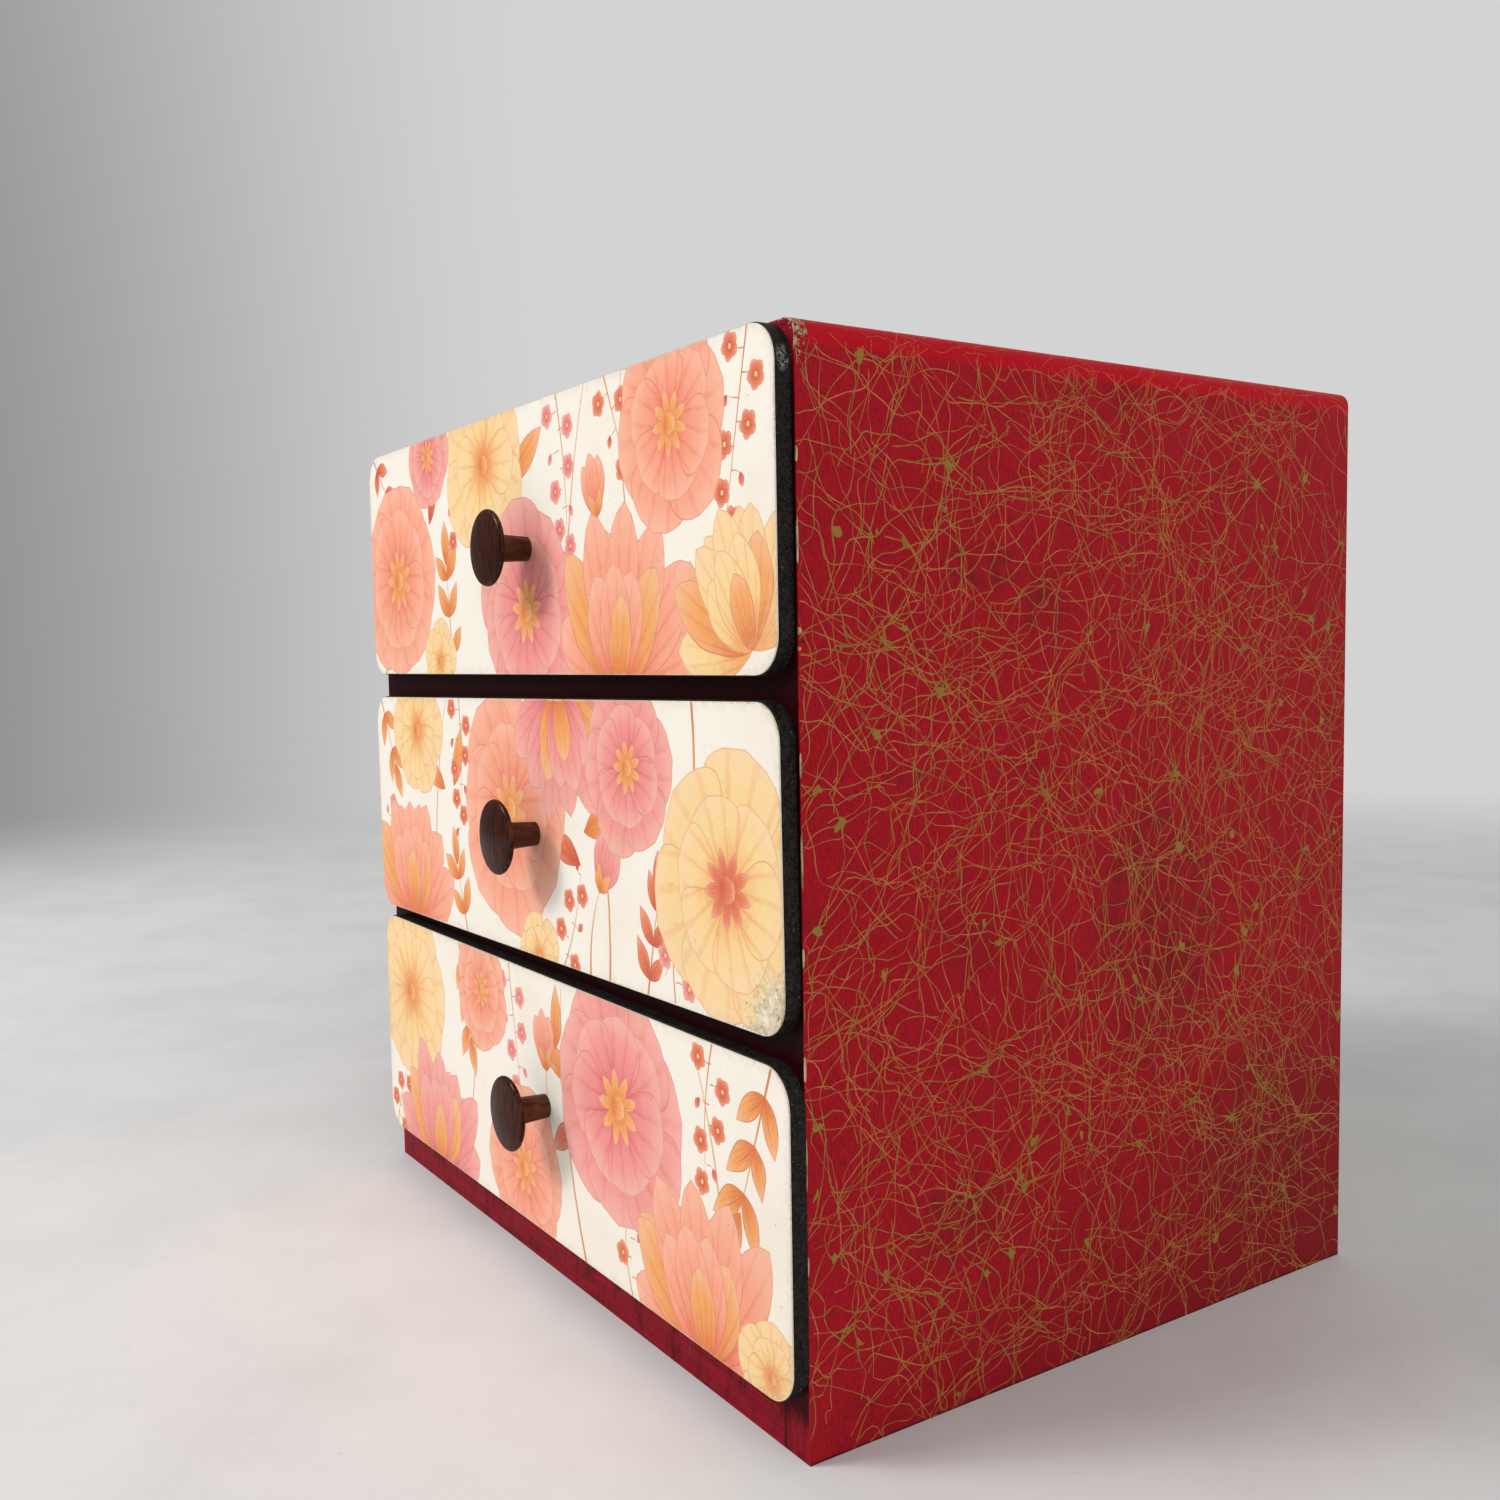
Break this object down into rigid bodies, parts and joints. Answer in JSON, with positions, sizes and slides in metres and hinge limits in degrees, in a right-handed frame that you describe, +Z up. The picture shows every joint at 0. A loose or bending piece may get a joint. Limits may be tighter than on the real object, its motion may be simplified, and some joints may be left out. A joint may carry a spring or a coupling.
{
  "type": "small tansu chest",
  "caption": "Small tabletop tansu chest: paper-covered case, rounded lay-on drawer fronts with turned knobs, comb-jointed drawer boxes that slide on wooden runners.",
  "frame": {"origin": "centre of the case's foot, on the surface it stands on; the lay-on fronts and knobs stand forward of the case", "axes": "+X to the right of someone facing the drawers, +Y to the back, +Z up; drawers open towards -Y"},
  "size_m": [0.332, 0.2785, 0.33],
  "materials": {
    "case_paper": "satin, red ground with gold thread pattern",
    "lacquered_board": "dark red lacquer, worn at the edges",
    "bare_board": "plain, planed",
    "back_plywood": "plain, planed",
    "peg_bamboo": "whittled",
    "nail_steel": "dull, slightly rusted",
    "black_board": "matt black, scuffed",
    "printed_paper": null,
    "box_board": "plain, planed",
    "box_plywood": "plain, planed",
    "knob_wood": "dark stain, glossy",
    "screw_steel": "dull"
  },
  "bodies": {
    "case": {"side_left": "lacquered_board", "side_right": "lacquered_board", "top_panel": "lacquered_board", "bottom_board": "bare_board", "back_panel": "back_plywood", "paper_cover": "case_paper", "back_nails": "nail_steel", "top_pegs": "peg_bamboo", "bottom_pegs": "peg_bamboo", "runner_pegs": "peg_bamboo", "bottom_rail": "lacquered_board", "bottom_runner_left": "bare_board", "bottom_runner_right": "bare_board", "lower_rail": "lacquered_board", "lower_runner_left": "bare_board", "lower_runner_right": "bare_board", "upper_rail": "lacquered_board", "upper_runner_left": "bare_board", "upper_runner_right": "bare_board"},
    "drawer_bottom": {"bottom_front_board": "black_board", "bottom_front_sheet": "printed_paper", "bottom_box_front": "box_board", "bottom_box_side_left": "box_board", "bottom_box_side_right": "box_board", "bottom_box_back": "box_board", "bottom_box_bottom": "box_plywood", "bottom_knob": "knob_wood", "bottom_knob_screw": "screw_steel"},
    "drawer_middle": {"middle_front_board": "black_board", "middle_front_sheet": "printed_paper", "middle_box_front": "box_board", "middle_box_side_left": "box_board", "middle_box_side_right": "box_board", "middle_box_back": "box_board", "middle_box_bottom": "box_plywood", "middle_knob": "knob_wood", "middle_knob_screw": "screw_steel"},
    "drawer_top": {"top_front_board": "black_board", "top_front_sheet": "printed_paper", "top_box_front": "box_board", "top_box_side_left": "box_board", "top_box_side_right": "box_board", "top_box_back": "box_board", "top_box_bottom": "box_plywood", "top_knob": "knob_wood", "top_knob_screw": "screw_steel"}
  },
  "joints": [
    {"name": "drawer_bottom_slide", "type": "slide", "parent": "case", "child": "drawer_bottom", "axis": [0, -1, 0], "range_m": [0, 0.19]},
    {"name": "drawer_middle_slide", "type": "slide", "parent": "case", "child": "drawer_middle", "axis": [0, -1, 0], "range_m": [0, 0.19]},
    {"name": "drawer_top_slide", "type": "slide", "parent": "case", "child": "drawer_top", "axis": [0, -1, 0], "range_m": [0, 0.19]}
  ]
}
